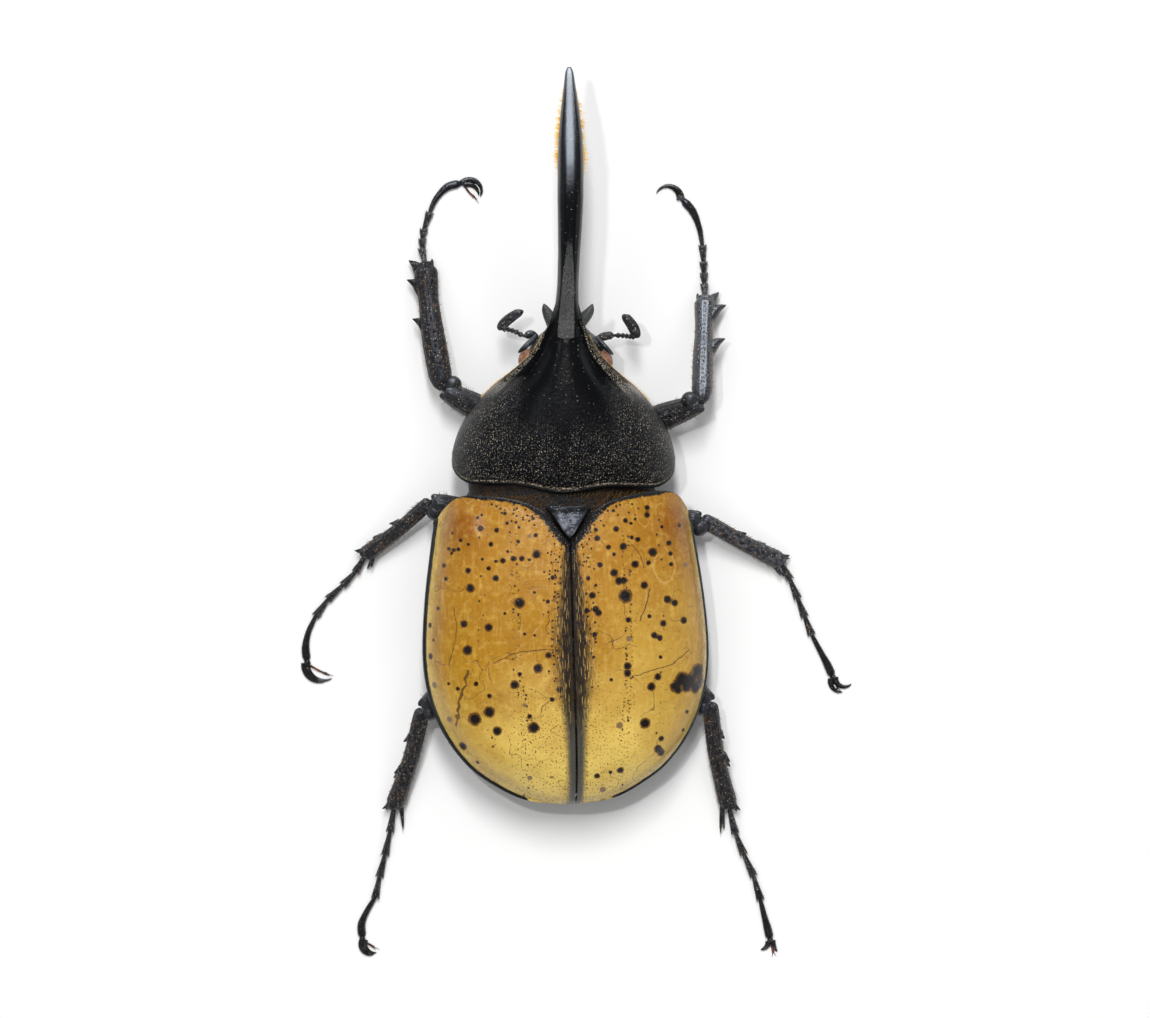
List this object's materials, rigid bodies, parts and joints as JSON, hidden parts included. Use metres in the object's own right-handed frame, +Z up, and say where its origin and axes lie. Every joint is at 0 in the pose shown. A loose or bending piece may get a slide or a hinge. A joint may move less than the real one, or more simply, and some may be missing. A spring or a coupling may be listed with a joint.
{
  "type": "hercules beetle",
  "caption": "A male hercules beetle, life size, standing with its legs spread: black head, shield and long horns, spotted amber wing cases.",
  "frame": {"origin": "on the floor, under the middle of the beetle's outline", "axes": "+Y forward along the horns, +X to the beetle's right, +Z up"},
  "size_m": [0.0788, 0.1266, 0.029],
  "materials": {
    "black_shell": "glossy black chitin, finely punctured at the sides",
    "amber_shell": "satin amber chitin with dark spots and a dark suture",
    "dark_hair": "dark brown membrane and body hair",
    "leg_shell": "rough black chitin",
    "eye": "reddish brown compound eye"
  },
  "bodies": {
    "root": {"pronotum": "black_shell", "thoracic_horn": "black_shell", "head": "black_shell", "head_horn": "black_shell", "eye_left": "eye", "eye_right": "eye", "antenna_left": "leg_shell", "antenna_right": "leg_shell", "mandible_left": "black_shell", "mandible_right": "black_shell", "palp_left": "leg_shell", "palp_right": "leg_shell", "scutellum": "black_shell", "elytron_left": "amber_shell", "elytron_right": "amber_shell", "thorax": "dark_hair", "abdomen": "black_shell", "coxa_front_left": "leg_shell", "coxa_front_right": "leg_shell", "coxa_middle_left": "leg_shell", "coxa_middle_right": "leg_shell", "coxa_hind_left": "leg_shell", "coxa_hind_right": "leg_shell", "femur_front_left": "leg_shell", "femur_front_right": "leg_shell", "femur_middle_left": "leg_shell", "femur_middle_right": "leg_shell", "femur_hind_left": "leg_shell", "femur_hind_right": "leg_shell", "tibia_front_left": "leg_shell", "tibia_front_right": "leg_shell", "tibia_middle_left": "leg_shell", "tibia_middle_right": "leg_shell", "tibia_hind_left": "leg_shell", "tibia_hind_right": "leg_shell", "tarsus_front_left": "leg_shell", "tarsus_front_right": "leg_shell", "tarsus_middle_left": "leg_shell", "tarsus_middle_right": "leg_shell", "tarsus_hind_left": "leg_shell", "tarsus_hind_right": "leg_shell", "claws_front_left": "black_shell", "claws_front_right": "black_shell", "claws_middle_left": "black_shell", "claws_middle_right": "black_shell", "claws_hind_left": "black_shell", "claws_hind_right": "black_shell"}
  },
  "joints": []
}
